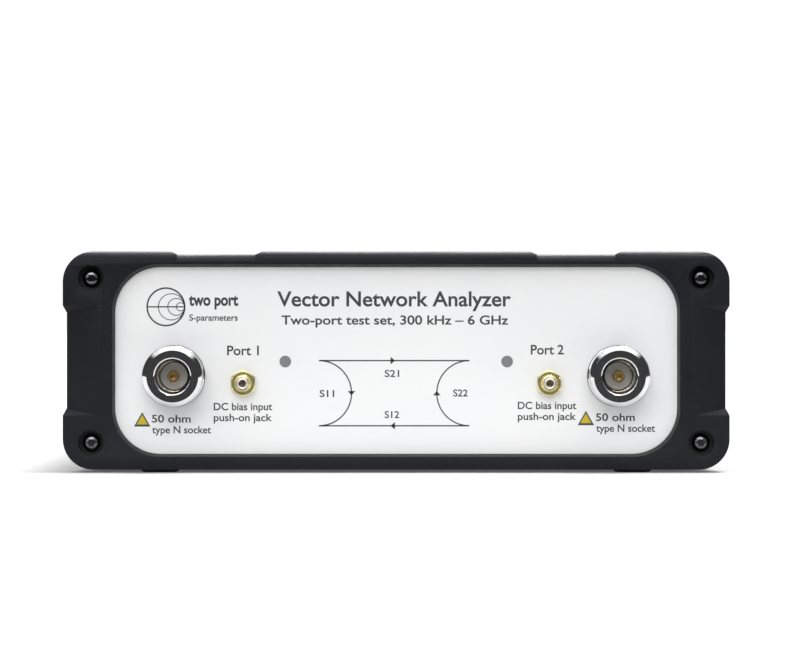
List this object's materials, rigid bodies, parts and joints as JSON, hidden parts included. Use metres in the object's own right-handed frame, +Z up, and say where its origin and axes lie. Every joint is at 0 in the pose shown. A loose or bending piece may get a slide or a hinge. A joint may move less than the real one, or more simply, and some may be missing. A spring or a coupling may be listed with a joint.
{
  "type": "vector network analyzer",
  "caption": "Bench vector network analyzer: a flat metal box between moulded end bezels, with coaxial test ports and bias jacks in front, and sockets, fan and switch behind.",
  "frame": {"origin": "on the table under the middle of the box", "axes": "+Z up, -Y out of the front panel with its test ports, +X to the right seen from the front"},
  "size_m": [0.174, 0.302, 0.0578],
  "materials": {
    "bezel_plastic": "finely textured moulded charcoal plastic",
    "cover_paint": "fine textured charcoal powder coat",
    "panel_aluminium": "brushed",
    "white_overlay": "satin white film with dark grey print",
    "black_steel": "black zinc plated steel",
    "foot_rubber": "soft matt black",
    "polished_nickel": "bright plated and polished",
    "white_insulator": "white fluoropolymer",
    "gold_plate": "gold plated",
    "bright_steel": "zinc plated steel",
    "lamp_lens": "smoked translucent grey",
    "lamp_resin": "clear resin",
    "circuit_board": "green solder mask",
    "component_black": "moulded epoxy",
    "brass_standoff": "turned brass",
    "milled_aluminium": "milled",
    "copper_tube": "bare copper tube",
    "tinned_steel": "tinned sheet and wire",
    "black_plastic": "moulded black plastic"
  },
  "bodies": {
    "case": {"front_bezel": "bezel_plastic", "rear_bezel": "bezel_plastic", "top_cover": "cover_paint", "bottom_cover": "cover_paint", "front_panel": "panel_aluminium", "rear_panel": "panel_aluminium", "front_overlay": "white_overlay", "rear_overlay": "white_overlay", "front_bezel_screws": "black_steel", "rear_bezel_screws": "black_steel", "rubber_feet": "foot_rubber", "port_1_shell": "polished_nickel", "port_1_insulator": "white_insulator", "port_1_contact": "gold_plate", "port_2_shell": "polished_nickel", "port_2_insulator": "white_insulator", "port_2_contact": "gold_plate", "port_flange_screws": "bright_steel", "bias_1_jack": "gold_plate", "bias_1_insulator": "white_insulator", "bias_1_pin": "gold_plate", "bias_2_jack": "gold_plate", "bias_2_insulator": "white_insulator", "bias_2_pin": "gold_plate", "bias_nuts": "gold_plate", "status_lens_1": "lamp_lens", "status_lens_2": "lamp_lens", "status_leds": "lamp_resin", "lamp_board": "circuit_board", "main_board": "circuit_board", "board_components": "component_black", "board_standoffs": "brass_standoff", "board_screws": "bright_steel", "coupler_block_1": "milled_aluminium", "coupler_block_2": "milled_aluminium", "coupler_lids": "milled_aluminium", "receiver_shield": "milled_aluminium", "receiver_lid": "milled_aluminium", "source_shield": "milled_aluminium", "source_lid": "milled_aluminium", "shield_screws": "bright_steel", "coax_link_1": "copper_tube", "coax_link_2": "copper_tube", "usb_socket": "tinned_steel", "usb_tongue": "white_insulator", "power_jack": "black_plastic", "power_jack_pin": "polished_nickel", "reference_in_socket": "polished_nickel", "reference_out_socket": "polished_nickel", "trigger_in_socket": "polished_nickel", "trigger_out_socket": "polished_nickel", "socket_insulators": "white_insulator", "socket_contacts": "gold_plate", "socket_nuts": "polished_nickel", "fan_frame": "black_plastic", "fan_guard": "tinned_steel", "fan_screws": "black_steel", "switch_housing": "black_plastic"},
    "fan_rotor": {"fan_rotor": "black_plastic"},
    "power_rocker": {"switch_rocker": "black_plastic"}
  },
  "joints": [
    {"name": "fan_spin", "type": "hinge", "parent": "case", "child": "fan_rotor", "pos_m": [0.047, 0.133, 0.0293], "axis": [0, 1, 0], "continuous": true},
    {"name": "rocker_tilt", "type": "hinge", "parent": "case", "child": "power_rocker", "pos_m": [-0.057, 0.1393, 0.042], "axis": [0, 0, 1], "range_deg": [0, 22]}
  ]
}
